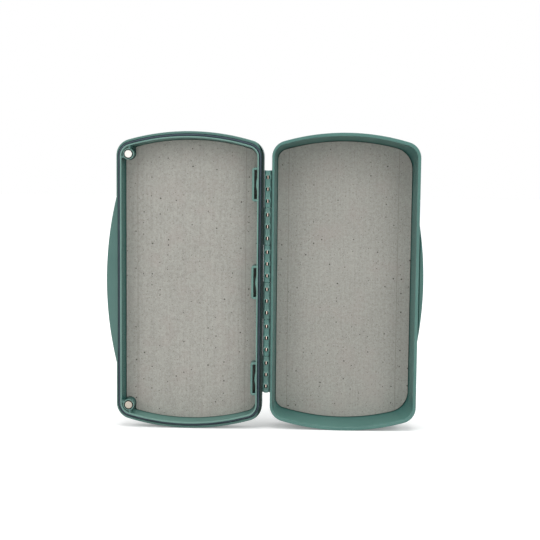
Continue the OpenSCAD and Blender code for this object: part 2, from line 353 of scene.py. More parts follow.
def moulded_plastic(name, deep, pale):
    """Rubbing and grain lift the deep colour towards the pale one, and broad clouds shift it a little. The
    rubbed share is also a painted sheen, and where it is 0 the deep colour is painted shade.
    """
    made = Finish(name, IOR=1.5)
    place = made.place()
    clouds, grain = made.noise(place, CLOUD_MM, 3.0), made.noise(place, GRAIN_MM)
    pits = made.noise(place, PIT_MM, 1.0)
    wear = made.node("ShaderNodeAttribute", {"attribute_name": "wear"}, {}, "Fac")
    share = wear * (0.7 + clouds * 0.6) + (clouds - 0.5) * 0.12 + (grain - 0.5) * 0.14
    colour = made.mixed(share.clamped(), linear(*deep), linear(*pale))
    roughness = 0.3 + (grain - 0.5) * 0.2 + wear * 0.1
    relief = made.bump(grain * 0.6 + pits * 0.4, GRAIN_DEPTH_MM)
    return made.feeds(Base_Color=colour, Roughness=roughness, Normal=relief)


base_plastic = moulded_plastic("base_plastic", *BASE_TEAL)
lid_plastic = moulded_plastic("lid_plastic", *LID_TEAL)
print("plastic finishes", base_plastic.name, lid_plastic.name)

# %% [markdown]
# ## Sizes shared by all pieces
# These repeat the sizes that the CAD solids were made with, because a dressed piece has to sit where
# its solid does. Reading them off the solids' boxes would give the outer sizes only. A few follow the
# photograph more closely than the solids do: the lip's hinge side, the bosses, the wire and the corners
# of the lid's floor. A depth is counted from the plane of the rims, and grows towards the back.

# %% Sizes
HALF_GAP, CASE_W, HALF_LEN, BOW_R, CORNER_R = 2.4, 90.5, 92.0, 135.0, 10.0
EDGE_X = HALF_GAP + CASE_W
RIM, LIP_TOP = 0.05, -1.95
BASE_BACK, LID_BACK, FLOOR_T = 10.55, 20.05, 2.0
BASE_FLOOR, LID_FLOOR = BASE_BACK - FLOOR_T, LID_BACK - FLOOR_T
BASE_BACK_R, LID_BACK_R = 1.5, 2.4
LIP_IN, LIP_T, GROOVE_W, GROOVE_D = 4.1, 0.9, 1.6, 1.4
FILM_T, MAT_T, MAT_GAP = 0.2, 1.6, 0.02
print("each half, millimetres", CASE_W, "by", 2 * HALF_LEN, "and the closed box", BASE_BACK + LID_BACK)

# %% [markdown]
# ## One outline for every wall
# Rim, lip, groove, walls, floor and mat all follow the same plan: straight long sides, bowed ends and
# corners tangent to both. Each could be drawn as a curve of its own. Instead one function draws them
# all from three insets and two corner radii, and because every outline has the same number of points,
# two outlines at different depths join into a smooth wall.

# %% Outlines
CORNER_STEPS, BOW_STEPS = 12, 26
SIDE_STOPS = (60.0, -60.0)


def half_outline(rows):
    """Outlines in X and Z of one half. Each row holds the insets from the edge on the hinge side, on the
    grip side and at the ends, and the radius of the corners on the grip side and on the hinge side. A
    corner's centre lies where an arc about the bow's centre, less the corner's radius, meets the side,
    less the same radius, which makes it tangent to both."""
    hinge, grip, end, corner, hinge_corner = (column[:, None] for column in np.asarray(rows, float).T)
    x0, x1 = HALF_GAP + hinge, EDGE_X - grip
    bow, bow_z, middle = BOW_R - end, HALF_LEN - BOW_R, (x0 + x1) / 2
    reach, hinge_reach = (x1 - x0) / 2 - corner, (x1 - x0) / 2 - hinge_corner
    lean, hinge_lean = np.arcsin(reach / (bow - corner)), np.arcsin(hinge_reach / (bow - hinge_corner))
    corner_z = bow_z + (bow - corner) * np.cos(lean)
    hinge_z = bow_z + (bow - hinge_corner) * np.cos(hinge_lean)
    t, s = np.linspace(0, 1, CORNER_STEPS + 1)[None], np.linspace(0, 1, BOW_STEPS + 1)[None, 1:-1]
    square = np.pi / 2
    first, last = t * (square - lean), square + hinge_lean + t * (square - hinge_lean)
    second = square - lean + s * (lean + hinge_lean)
    x = [middle + reach + corner * np.cos(first), middle + bow * np.cos(second)]
    x = np.concatenate([*x, middle - hinge_reach + hinge_corner * np.cos(last)], axis=1)
    z = [corner_z + corner * np.sin(first), bow_z + bow * np.sin(second)]
    z = np.concatenate([*z, hinge_z + hinge_corner * np.sin(last)], axis=1)
    stops = np.broadcast_to(np.array(SIDE_STOPS), (len(x), len(SIDE_STOPS)))
    x = np.concatenate([x, np.broadcast_to(x0, stops.shape), x[:, ::-1]], axis=1)
    z = np.concatenate([z, stops, -z[:, ::-1]], axis=1)
    return np.stack([x, z], axis=-1)


def beside(plan, way):
    """Rows parallel to a plan, at a depth and a distance out (way 1) or in (way -1). A move out takes the
    distance off the three insets and adds it to the two radii."""
    signs = way * np.array([-1, -1, -1, 1, 1])
    return lambda y, distance: [y, *(np.array(plan) + signs * distance).tolist()]


# Each plan: insets on the hinge side, on the grip side and at the ends, then the radii of the corners on
# the grip side and on the hinge side.
edge_row = beside((0.0, 0.0, 0.0, CORNER_R, CORNER_R), -1)
lip_row = beside((LIP_IN, 3.3, 3.95, 6.55, 6.55), 1)
base_floor_row = beside((LIP_IN + 0.1, 5.15, 5.2, 7.0, 7.0), -1)
mouth_row = beside((1.4, 1.9, 2.0, 8.0, 8.0), 1)
lid_floor_row = beside((3.2, 4.05, 5.3, 13.5, 6.5), -1)
print("points in each outline", half_outline([edge_row(0, 0)[1:]]).shape[1])

# %% [markdown]
# ## Profiles carried round
# Every moulded edge has a small round, which catches a thin line of light. A Bevel modifier could add
# them all with one width, but here each has its own, so a quarter round is a list of steps inside the
# profile that is carried round the outline.


# %% Profiles
def carried(rows):
    """Rings of points from a profile whose rows are a depth Y and an outline's five numbers."""
    rows = np.asarray(rows, float)
    outlines = half_outline(rows[:, 1:])
    depth = np.broadcast_to(rows[:, :1], outlines.shape[:2])
    return np.stack([outlines[..., 0], depth, outlines[..., 1]], axis=-1)


def quarter(radius, steps=4):
    """Pairs of steps round a quarter: how far it has turned in, r * (1 - cos a), and how far it has still
    to go, r * (1 - sin a)."""
    angle = np.linspace(0, np.pi / 2, steps + 1)
    return list(zip(radius * (1 - np.cos(angle)), radius * (1 - np.sin(angle))))


def near_floor(wall, floor, height, round_r):
    """The row on a leaning wall just above the floor's round: wall + (floor - wall) * (1 - r / height)."""
    wall, floor = np.array(wall), np.array(floor)
    return (wall + (floor - wall) * (1 - round_r / height)).tolist()


print("a quarter round of 1 mm in 2 steps", np.round(quarter(1.0, 2), 2).tolist())

# %% [markdown]
# ## The base's tray
# The real tray is one moulding: a rounded back, straight outer walls, a flat rim, a groove for the
# seal, a lip that enters the lid, and inner walls that lean in to the floor. It could be modelled by
# hand with insets and extrusions. Here its whole cross-section is one profile, carried round the
# outline. Its rubbing follows the hand, and carries painted light too: the lip is rubbed most and
# painted brightest as a highlight, the rim takes a painted sheen, the groove is hardly rubbed, and the
# inner walls are left at the deep colour as painted shade.

# %% Base tray's profile
SOFT_EDGE, GROOVE_EDGE, BASE_FLOOR_R = 0.25, 0.15, 0.6
SEAL_LAND = LIP_T + GROOVE_W
BACK_ROUND_STEPS = 6
RIM_ROWS, SHADED_ROWS, BASE_INNER_ROWS = slice(7, 12), slice(7, 16), slice(-6, None)


def base_profile():
    """From the back, over the back's rounding, up the outer wall, across rim, groove and lip, down to the
    floor. Rubbing with painted light: 7 rows of the back, 5 of the rim, 4 and 2 of the groove, 10 of the
    lip, brightest as a painted highlight, and 5 of the inner wall, at 0 as painted shade."""
    rows = [edge_row(BASE_BACK - turned, left) for turned, left in quarter(BASE_BACK_R, BACK_ROUND_STEPS)]
    rows += [edge_row(RIM + left, turned) for turned, left in quarter(SOFT_EDGE)]
    rows += [lip_row(RIM + turned, SEAL_LAND + left) for turned, left in quarter(GROOVE_EDGE, 3)]
    rows += [lip_row(RIM + GROOVE_D, SEAL_LAND), lip_row(RIM + GROOVE_D, LIP_T)]
    rows += [lip_row(LIP_TOP + left, LIP_T - turned) for turned, left in quarter(SOFT_EDGE)]
    rows += [lip_row(LIP_TOP + turned, left) for turned, left in quarter(SOFT_EDGE)]
    wall, floor = lip_row(RIM, 0.0), base_floor_row(BASE_FLOOR, 0.0)
    rows += [wall, near_floor(wall, floor, BASE_FLOOR - RIM, BASE_FLOOR_R)]
    rows += [base_floor_row(BASE_FLOOR - left, turned) for turned, left in quarter(BASE_FLOOR_R, 3)[1:]]
    return rows, [0.45] * 7 + [0.5] * 5 + [0.4] * 4 + [0.2] * 2 + [0.95] * 10 + [0.0] * 5


base_rows, base_wear = base_profile()
print("rows in the base's profile", len(base_rows))

# %% [markdown]
# ## Painted light on the ends, and a slot
# Two things break the even profile. The inner end walls are painted paler towards both ends, as painted
# light and sheen, and along the hinge side a deep, narrow slot runs between the outer wall and the
# seal's groove, which shows as a dark band, deepened by painted shade. A second shell could cover the
# rim there, but the slot is the same rows pushed down, and a smooth step ends it at both corners.

# %% Base tray
# Painted light: where and how much the inner end walls are painted paler, as light and sheen.
END_LIGHT_FROM, END_LIGHT_TO, BASE_END_LIGHT, LID_END_LIGHT = 77.0, 84.0, 0.5, 0.22
SLOT_D, SLOT_END, SLOT_RUN = 5.0, 85.5, 5.0
SLOT_SECTION = ((0.0, 0.75), (0.22, 0.6), (0.3, SLOT_D), (1.36, SLOT_D), (1.42, 0.0))


def painted_end_light(rings, wear, rows, most):
    """Painted light on the inner end walls: the pale share on the given rows grows by up to most as |z|
    goes between the two limits set above.
    """
    wear = np.repeat(np.reshape(wear, (-1, 1)), rings.shape[1], axis=1)
    share = (np.abs(rings[rows][..., 2]) - END_LIGHT_FROM) / (END_LIGHT_TO - END_LIGHT_FROM)
    wear[rows] += most * np.clip(share, 0, 1)
    return wear


def slotted(rings, wear):
    """Moves the rim's rows to the slot's section, of inset and drop, on the hinge side. Down both corners
    the share moved grows smoothly, as t * t * (3 - 2 * t), and the slot loses its pale rubbing share, which
    paints it darker as painted shade."""
    rings, wear = rings.copy(), wear.copy()
    low = carried([edge_row(RIM + drop, inset) for inset, drop in SLOT_SECTION])
    t = np.clip((SLOT_END - np.abs(rings[RIM_ROWS][..., 2])) / SLOT_RUN, 0, 1)
    share = (rings[RIM_ROWS][..., 0] < HALF_GAP + CORNER_R) * t * t * (3 - 2 * t)
    rings[RIM_ROWS] += share[..., None] * (low - rings[RIM_ROWS])
    # Painted shade: the slot's rows lose their pale share.
    wear[SHADED_ROWS] *= 1 - share[-1]
    return rings, wear


base_rings = carried(base_rows)
base_wear = painted_end_light(base_rings, base_wear, BASE_INNER_ROWS, BASE_END_LIGHT)
base_rings, base_wear = slotted(base_rings, base_wear)
base_shell = shell(base_rings, wear=base_wear)
make_piece("base_tray_shell", "base", [base_shell], base_plastic, "base_tray")

# %% [markdown]
# ## The lid's tray
# The lid is the same kind of moulding, twice as deep, so it could be the base's profile again with
# other sizes. But its rim is plain, because the seal and the lip are on the base, and a short straight
# land inside the rim gives the lip room before the walls lean in. So it gets a profile of its own.

# %% Lid tray
LAND_D, LID_FLOOR_R = 3.0, 0.8
LID_INNER_ROWS = slice(-5, None)


def lid_profile():
    """From the back, over its rounding, up the outer wall, across the rim, down the land and the leaning
    wall. Rubbing with painted light: 7 rows of the back, 10 of the rim, with a painted sheen, 1 of the
    land, 4 of the inner wall, at 0 as painted shade."""
    rows = [edge_row(LID_BACK - turned, left) for turned, left in quarter(LID_BACK_R, BACK_ROUND_STEPS)]
    rows += [edge_row(RIM + left, turned) for turned, left in quarter(SOFT_EDGE)]
    rows += [mouth_row(RIM + turned, left) for turned, left in quarter(SOFT_EDGE)]
    wall, floor = mouth_row(RIM + LAND_D, 0.0), lid_floor_row(LID_FLOOR, 0.0)
    rows += [wall, near_floor(wall, floor, LID_FLOOR - RIM - LAND_D, LID_FLOOR_R)]
    rows += [lid_floor_row(LID_FLOOR - left, turned) for turned, left in quarter(LID_FLOOR_R, 3)[1:]]
    return rows, [0.45] * 7 + [0.43] * 10 + [0.15] + [0.0] * 4


lid_rows, lid_wear = lid_profile()
lid_rings = carried(lid_rows)
lid_shell = shell(lid_rings, wear=painted_end_light(lid_rings, lid_wear, LID_INNER_ROWS, LID_END_LIGHT))
make_piece("lid_tray_shell", "lid", [lid_shell], lid_plastic, "lid_tray")

# %% [markdown]
# ## Grip tabs
# Each half has a flat tab whose edge is a long arc, so that two fingertips can pull the halves apart.
# It could be cut from a disc with a boolean. Here a tab is a slat swept along the arc: at every height
# its outer end lies on the circle, and its outer edges are rounded over. Its root runs into the wall,
# so no edge shows where they meet, and the lid's tab has a shallow channel along its root.

# %% Grip tabs
# The last of these is the tabs' pale share: rubbing with a painted sheen.
TAB_T, TAB_EDGE_R, TAB_ROUND, TAB_WEAR_AND_LIGHT = 2.0, 220.0, 0.55, 0.33
CHANNEL_FOOT, CHANNEL_TOP = 0.15, 0.95


def grip_tab(reach, front, root, channel=0.0):
    """Sections across the tab. At height z the edge lies at reach - R + sqrt(R * R - z * z) past the wall,
    and never further in than the root."""
    top = math.sqrt(TAB_EDGE_R**2 - (TAB_EDGE_R - reach - root / 2) ** 2)
    z = top * np.sin(np.linspace(-1, 1, 61) * np.pi / 2)
    edge = reach - TAB_EDGE_R + np.sqrt(TAB_EDGE_R**2 - z**2)
    flat_end, inner, back = np.maximum(edge - TAB_ROUND, -root), np.full_like(z, -root), front + TAB_T
    loop = [(inner, front + channel)]
    if channel:
        loop += [(np.clip(CHANNEL_FOOT, -root, flat_end), front + channel)]
        loop += [(np.clip(CHANNEL_TOP, -root, flat_end), front)]
    loop += [(np.maximum(edge - left, -root), front + turned) for turned, left in quarter(TAB_ROUND)]
    loop += [(np.maximum(edge - turned, -root), back - left) for turned, left in quarter(TAB_ROUND)]
    loop += [(inner, back)]
    rings = [np.stack([EDGE_X + x, np.full_like(z, y), z], axis=-1) for x, y in loop]
    return shell(np.stack(rings, axis=1), wear=TAB_WEAR_AND_LIGHT)


base_tab = grip_tab(reach=6.2, front=RIM - 0.01, root=0.5)
lid_tab = grip_tab(reach=3.3, front=RIM + 3.5, root=0.9, channel=1.1)
make_piece("base_grip_tab", "base", [base_tab], base_plastic, "base_tray")
make_piece("lid_grip_tab", "lid", [lid_tab], lid_plastic, "lid_tray")

# %% [markdown]
# ## Hinge barrels
# Six barrels in a row, three on each half, turn on one wire. Oval windows from the front and the back
# let the mould form the bore without a long core pin, and the barrel swells a little around each. A
# boolean could cut the windows, but a sweep along the hinge is cleaner: the section is a circle
# between windows and a C where a window passes.

# %% Barrel sections
KNUCKLES, HINGE_LEN, KNUCKLE_PLAY, KNUCKLE_R = 6, 137.4, 0.12, 1.9
PITCH = HINGE_LEN / KNUCKLES
WINDOW_W, WINDOW_H, WINDOW_PITCH, WINDOW_FLOOR = 2.25, 2.2, 7.25, -0.5
FRONT_WINDOWS = np.array([-1.0, 0.0, 1.0]) * WINDOW_PITCH
BACK_WINDOWS = np.array([-0.5, 0.5]) * WINDOW_PITCH
CLOSED_TURN = math.asin(WINDOW_W / 2 / KNUCKLE_R)
SLIM_R, SWELL, SWELL_LEN = 1.62, 0.4, 1.5


def oval(z, centres):
    """Half a window's width at z: w = W/2 * (1 - |t| ** 4) ** (1/4), where t runs from -1 to 1 along it."""
    t = np.abs(z[:, None] - centres).min(1) / (WINDOW_H / 2)
    return np.where(t < 0.999, WINDOW_W / 2 * np.maximum(1 - t**4, 0.001) ** (1 / 4), 0.0)


def barrel_radius(z):
    """Slimmer between windows: r = slim + swell * exp(-(distance / swell length) ** 4)."""
    distance = np.abs(z[:, None] - FRONT_WINDOWS).min(1)
    return SLIM_R + SWELL * np.exp(-((distance / SWELL_LEN) ** 4))


def face(width, radius, way):
    """One side of each section, seen from the front (way -1) or the back (way 1): an arc of the circle, or
    where a window passes, down one flank, across behind the wire and up the other flank."""
    s = np.linspace(-1, 1, 17)[None]
    width, radius = width[:, None], radius[:, None]
    arc = s * CLOSED_TURN
    edge_y = np.sqrt(radius**2 - width**2)
    sunk = np.clip(1.5 * (1 - np.abs(s)), 0, 1)
    x = np.where(width > 0, width * np.clip(2 * s, -1, 1), radius * np.sin(arc))
    y = np.where(width > 0, edge_y + (WINDOW_FLOOR - edge_y) * sunk, radius * np.cos(arc))
    return x, way * y


def flank(front, back, radius):
    """The arc of each section from the front face's end round to the back face's end."""
    start, end = (np.arcsin(np.clip(width / radius, 0, 1)) for width in (front, back))
    start, end = np.where(front > 0, start, CLOSED_TURN), np.where(back > 0, end, CLOSED_TURN)
    angle = start[:, None] + np.linspace(0, 1, 14)[None, 1:-1] * (np.pi - end - start)[:, None]
    return radius[:, None] * np.sin(angle), -radius[:, None] * np.cos(angle)


print("windows on each barrel", len(FRONT_WINDOWS), "in front and", len(BACK_WINDOWS), "behind")

# %% [markdown]
# ## Barrels, webs and heels
# Each barrel hangs on its own tray by a web, a flat plate set back so that it lies in shade, and a heel
# squares its back on the far side. All three could be one sweep with an odd section. Three simple
# closed shells that run into each other look the same and stay easy to change.

# %% Knuckles
# The second of these is the barrels' pale share: rubbing with a painted sheen on their outer faces.
END_BEVEL, BARREL_WEAR_AND_LIGHT, BAR_PLAY, BAR_ROUND = 0.25, 0.35, 0.04, 0.2
WEB_ROOT_X, WEB_BACK_Y, HEEL_IN_X, HEEL_FRONT_Y = 0.9, 2.2, -1.2, 0.6


def barrel(middle):
    """Sections along the hinge: a circle, opened in front or behind where a window passes. Every window
    gets sections at its ends and, by a sine, closer together near them."""
    long = (PITCH - KNUCKLE_PLAY) / 2
    t = np.sin(np.linspace(-1, 1, 13) * np.pi / 2) * 0.9985
    t = np.concatenate([[-1.0], t, [1.0]]) * WINDOW_H / 2
    z = np.concatenate([c + t for c in (*FRONT_WINDOWS, *BACK_WINDOWS)] + [np.linspace(-long, long, 40)])
    z = np.unique(np.concatenate([z, [-long + END_BEVEL, long - END_BEVEL]]).round(5))
    radius = barrel_radius(z) - np.maximum(0, np.abs(z) - long + END_BEVEL)
    front, back = oval(z, FRONT_WINDOWS), oval(z, BACK_WINDOWS)
    near, far, side = face(front, radius, -1), face(back, radius, 1), flank(front, back, radius)
    x = np.concatenate([near[0], side[0], far[0][:, ::-1], -side[0][:, ::-1]], axis=1)
    y = np.concatenate([near[1], side[1], far[1][:, ::-1], side[1][:, ::-1]], axis=1)
    inside = np.hypot(x, y) < radius[:, None] - 0.02
    rings = np.stack([x, y, np.broadcast_to(middle + z[:, None], x.shape)], axis=-1)
    # Painted shade: the window's flanks and floor stay at the deep colour.
    return shell(rings, wear=np.where(inside, 0.0, BARREL_WEAR_AND_LIGHT))


def bar(middle, near, far):
    """A rounded bar along a knuckle, from its near to its far end. Each end is its X and the depths of its
    front and back, and its section is a loop in Y and Z with small rounds."""
    long, turn = (PITCH - BAR_PLAY) / 2, np.array(quarter(BAR_ROUND, 3))
    rings = []
    for x, front, back in (near, far):
        y = np.concatenate([front + turn[::-1, 0], back - turn[:, 1]])
        z = np.concatenate([long - turn[::-1, 1], long - turn[:, 0]])
        y, z = np.concatenate([y, y[::-1]]), middle + np.concatenate([z, -z[::-1]])
        rings.append(np.stack([np.full_like(y, x), y, z], axis=-1))
    # Painted shade: webs and heels stay at the deep colour.
    return shell(np.stack(rings), wear=0.0)


def web(middle, far):
    """From inside the barrel to inside its own tray's wall, at X = far."""
    return bar(middle, (WEB_ROOT_X, RIM + 1.15, WEB_BACK_Y), (far, RIM + 1.3, WEB_BACK_Y))


def heel(middle, reach):
    """The strip that squares a barrel's back, out to X = -reach on the far side from its tray."""
    return bar(middle, (-reach, HEEL_FRONT_Y, KNUCKLE_R), (HEEL_IN_X, HEEL_FRONT_Y, KNUCKLE_R))


# Each half: its finish, its first knuckle, its heels' reach and the far end of its webs.
HALVES = {"lid": (lid_plastic, 0, 2.2, 3.2), "base": (base_plastic, 1, 2.36, 2.6)}
for body, (finish, first, reach, far) in HALVES.items():
    middles = [HINGE_LEN / 2 - (i + 0.5) * PITCH for i in range(first, KNUCKLES, 2)]
    parts = [made for m in middles for made in (barrel(m), web(m, far), heel(m, reach))]
    make_piece(f"{body}_knuckles", body, parts, finish, f"{body}_tray")

# %% [markdown]
# ## Bare metal
# The hinge wire is drawn stainless steel and the magnets are nickel plated. Metal could be one grey
# with a low roughness, but drawing and polishing leave fine lines, and those break up its highlights.
# So one finish takes a colour, a roughness and how far its scratches are drawn out.


# %% Metal finishes
def metal(name, colour, roughness, streak_mm, drawn_out, depth_mm):
    """Roughness and fine scratches follow noise that is drawn out along Z, as the wire was drawn and the
    discs were polished, and the colour goes up to 22 levels lighter."""
    made = Finish(name, Metallic=1.0)
    place = made.place()
    streaks, clouds = made.noise(place, streak_mm, 3.0, (1, 1, drawn_out)), made.noise(place, 3.0)
    pale = [min(255, level + 22) for level in colour]
    tint = made.mixed(clouds * 0.6 + streaks * 0.4, linear(*colour), linear(*pale))
    relief = made.bump(streaks, depth_mm)
    return made.feeds(Base_Color=tint, Roughness=roughness + (streaks - 0.5) * 0.3, Normal=relief)


# The numbers of each: roughness, width of a streak, how far it is drawn out, depth of a scratch.
wire_steel = metal("wire_steel", (222, 198, 184), 0.18, 0.12, 60, 0.01)
nickel = metal("nickel_plating", (218, 216, 210), 0.34, 0.2, 5, 0.004)
darker_nickel = metal("darker_nickel", (166, 158, 146), 0.45, 0.2, 5, 0.006)
print("metal finishes", wire_steel.name, nickel.name, darker_nickel.name)

# %% [markdown]
# ## The hinge wire
# One stainless wire runs through all six barrels and shows in their windows. A plain cylinder would
# do for its length, but a cut wire has bevelled ends, so its profile is spun about the hinge axis.

# %% Hinge wire
WIRE_R, WIRE_HALF, WIRE_BEVEL = 0.55, HINGE_LEN / 2 - 0.5, 0.2


def spun_z(profile, steps=32):
    """A profile of (radius, z) turned about the hinge axis: x = r cos a, y = r sin a."""
    angle = np.linspace(0, 2 * np.pi, steps, endpoint=False)[None]
    radius, z = np.asarray(profile, float).T[..., None]
    return np.stack([radius * np.cos(angle), radius * np.sin(angle), z + 0 * angle], axis=-1)


upper_end = [(WIRE_R, WIRE_HALF - WIRE_BEVEL), (WIRE_R - WIRE_BEVEL, WIRE_HALF)]
wire_profile = [(r, -z) for r, z in upper_end[::-1]] + upper_end
make_piece("hinge_wire", "base", [shell(spun_z(wire_profile))], wire_steel, "hinge_pin")

# %% [markdown]
# ## The rim seal
# A navy cord of soft rubber lies in the groove around the lip. A curve with a bevel could be bent
# along the groove, but the groove is already an outline, so the cord is the same outline carried
# round its own domed section.

# %% Seal finish and cord
SEAL_PLAY, SEAL_SINK, SEAL_DOME = 0.05, 0.1, 0.8


def seal_finish():
    """Dark navy rubber with a dull bloom in soft clouds."""
    made = Finish("seal_rubber", IOR=1.5, Specular_IOR_Level=0.4)
    place = made.place()
    bloom, grain = made.noise(place, 9.0, 3.0), made.noise(place, 0.3)
    share = ((bloom - 0.5) * 1.6 + 0.5).clamped()
    colour = made.mixed(share, linear(50, 62, 74), linear(68, 80, 92))
    relief = made.bump(grain, 0.01)
    return made.feeds(Base_Color=colour, Roughness=0.5 + (bloom - 0.5) * 0.3, Normal=relief)


def seal_rings():
    """A closed section with a rounded crown, carried along the lip's outline grown by its distance. At turn
    a the crown lies r * dome * (1 - sin a) below its top and r * cos a from its middle."""
    inner, outer = LIP_T + SEAL_PLAY, LIP_T + GROOVE_W - SEAL_PLAY
    middle, radius, crown = (inner + outer) / 2, (outer - inner) / 2, RIM + SEAL_SINK
    dome, turns = radius * SEAL_DOME, np.linspace(0, np.pi, 11)
    rows = [lip_row(crown + dome * (1 - math.sin(a)), middle - radius * math.cos(a)) for a in turns]
    rows += [lip_row(RIM + GROOVE_D, outer), lip_row(RIM + GROOVE_D, inner)]
    return carried(rows)


seal_shell = shell(seal_rings(), looped=True)
make_piece("seal_cord", "base", [seal_shell], seal_finish(), "rim_seal")

# %% [markdown]
# ## Magnet bosses
# At the two grip-side corners a round boss holds a small nickel-plated magnet in a ring. A cylinder with
# a smaller one cut out would do, but its edges would be razor sharp. So the boss is a profile with small
# rounds, spun about the depth axis.

# %% Bosses
BOSS_X, BOSS_Z, BOSS_R, BOSS_WALL = 85.4, 77.75, 3.45, 0.52
BOSS_TOP, BOSS_WELL, BOSS_FOOT = -1.55, 2.6, BASE_FLOOR + 1
MAGNET_R, MAGNET_T, MAGNET_PLAY = 2.25, 3.0, 0.04


def spun_y(profile, side, steps=48):
    """A profile of (radius, y) turned about a boss's middle: x = r cos a, z = r sin a, both past it."""
    angle = np.linspace(0, 2 * np.pi, steps, endpoint=False)[None]
    radius, y = np.asarray(profile, float).T[..., None]
    x, z = BOSS_X + radius * np.cos(angle), side * BOSS_Z + radius * np.sin(angle)
    return np.stack([x, y + 0 * angle, z], axis=-1)


def boss(side):
    """From the foot up the outside, over the ring, rubbed and painted bright as a highlight, and down
    inside it to the magnet's seat, whose well stays at the deep colour as painted shade.
    """
    inner, seat = BOSS_R - BOSS_WALL, MAGNET_R + MAGNET_PLAY
    profile = [(BOSS_R, BOSS_FOOT), (BOSS_R, BOSS_TOP + 0.5)]
    profile += [(BOSS_R - turned, BOSS_TOP + left) for turned, left in quarter(0.2, 3)]
    profile += [(inner + left, BOSS_TOP + turned) for turned, left in quarter(0.12, 3)]
    profile += [(inner, BOSS_TOP + BOSS_WELL), (seat, BOSS_TOP + BOSS_WELL), (seat, BOSS_TOP + MAGNET_T)]
    # Rubbing with a painted highlight on the ring's rows, and 0 elsewhere, which paints the well as shade.
    wear = [0.9 if 2 <= row < 9 else 0.0 for row in range(len(profile))]
    return shell(spun_y(profile, side), wear=wear)


bosses = [boss(1), boss(-1)]
print("points in each boss", len(bosses[0][0]))

# %% [markdown]
# ## Boss webs
# Two webs brace each boss against the lip, and a thin plate fills the corner between them. They could be
# plain blocks pushed through the lip, but then their ends would show on its far side. So a ray is cast
# from the boss's middle to the middle of the lip's wall, and each web and the plate end there.

# %% Webs and corner plates
WEB_T, WEB_ROUND, WEB_TURNS = 1.2, 0.2, (36 - 63, 36 + 63)
# The last number is the corner plates' pale share: rubbing with a painted sheen.
PLATE_DROP, PLATE_STEPS, PLATE_WEAR_AND_LIGHT = 0.9, 19, 0.2
MID_LIP = half_outline([lip_row(0, LIP_T / 2)[1:]])[0]


def reach_to(outline, start, way):
    """How far a line from start in direction way runs before it crosses the outline: for each edge, cross
    products give the distance t along the line and the share u along the edge."""
    edge, gap = np.roll(outline, -1, axis=0) - outline, outline - start
    cross = way[0] * edge[:, 1] - way[1] * edge[:, 0]
    with np.errstate(divide="ignore", invalid="ignore"):
        t = (gap[:, 0] * edge[:, 1] - gap[:, 1] * edge[:, 0]) / cross
        u = (gap[:, 0] * way[1] - gap[:, 1] * way[0]) / cross
    return float(t[(t > 0) & (u >= 0) & (u <= 1)].min())


def from_boss(side, turn):
    """A boss's middle, the direction at an angle in degrees from the grip side towards the nearer end, and
    the distances in it to inside the boss's wall and inside the lip."""
    start, angle = np.array([BOSS_X, side * BOSS_Z]), math.radians(turn)
    way = np.array([math.cos(angle), side * math.sin(angle)])
    return start, way, (BOSS_R - BOSS_WALL / 2, reach_to(MID_LIP, start, way))


def brace(side, turn):
    """A bar with rounded upper edges, from inside the boss's wall to inside the lip."""
    start, way, ends = from_boss(side, turn)
    across, top, half = np.array([-way[1], way[0]]), BOSS_TOP + 0.02, WEB_T / 2
    loop = [(-half + turned, top + left) for turned, left in quarter(WEB_ROUND, 3)]
    loop += [(half - turned, top + left) for turned, left in quarter(WEB_ROUND, 3)[::-1]]
    u, y = np.array(loop + [(half, BOSS_FOOT), (-half, BOSS_FOOT)]).T
    flats = [start + way * far + across * u[:, None] for far in ends]
    return shell(np.array([np.stack([flat[:, 0], y, flat[:, 1]], axis=-1) for flat in flats]))


def corner_plate(side):
    """Between the webs, a little below them: an arc inside the boss's wall and back along the lip."""
    rays = [from_boss(side, turn) for turn in np.linspace(*WEB_TURNS, PLATE_STEPS)]
    near, far = ([start + way * ends[k] for start, way, ends in rays] for k in (0, 1))
    flat = np.array(near + far[::-1])
    depths = np.array([BOSS_FOOT, BOSS_TOP + PLATE_DROP])[:, None]
    x, y, z = np.broadcast_arrays(flat[None, :, 0], depths, flat[None, :, 1])
    return shell(np.stack([x, y, z], axis=-1), wear=PLATE_WEAR_AND_LIGHT)


parts = [made for side, made_boss in zip((1, -1), bosses) for made in (made_boss, corner_plate(side))]
parts += [brace(side, turn) for side in (1, -1) for turn in WEB_TURNS]
make_piece("magnet_bosses", "base", parts, base_plastic, "base_tray")

# %% [markdown]
# ## Magnets
# Each boss holds a disc magnet, level with its ring. The upper one is bright, and the lower one is given
# a darker, rougher metal. A flat circle would do from the front, but the bevel of a real disc catches a
# thin bright ring, so the disc is spun from a profile with a small round.

# %% Magnet discs
MAGNET_ROUND = 0.15


def magnet_disc(side):
    """A disc from its foot up its side and over a small round to its flat face."""
    profile = [(MAGNET_R, BOSS_TOP + MAGNET_T), (MAGNET_R, BOSS_TOP + MAGNET_ROUND)]
    profile += [(MAGNET_R - turned, BOSS_TOP + left) for turned, left in quarter(MAGNET_ROUND, 3)[1:]]
    return shell(spun_y(profile, side))


for name, side, finish in (("upper", 1, nickel), ("lower", -1, darker_nickel)):
    disc = [magnet_disc(side)]
    make_piece(f"{name}_magnet_disc", "base", disc, finish, f"{name}_magnet")

# %% [markdown]
# ## Clip loops
# Along the hinge-side lip stand three slotted loops. In such boxes they take the tongues of a swinging
# leaf. A loop could be a block with a slot cut out of it, but its corners are rounded both inside and
# outside, so it is a bar's section carried along a U-shaped path.

# %% Clip loops
CLIP_PITCH, CLIP_LEN, CLIP_OUT, CLIP_WALL, CLIP_LOW = 60.0, 20.6, 3.15, 1.3, 6.35
# The last number is the loops' pale share on their front: rubbing with a painted highlight.
CLIP_TURN_R, CLIP_ROUND, CLIP_WEAR_AND_LIGHT = 0.85, 0.22, 0.7
LIP_X = HALF_GAP + LIP_IN


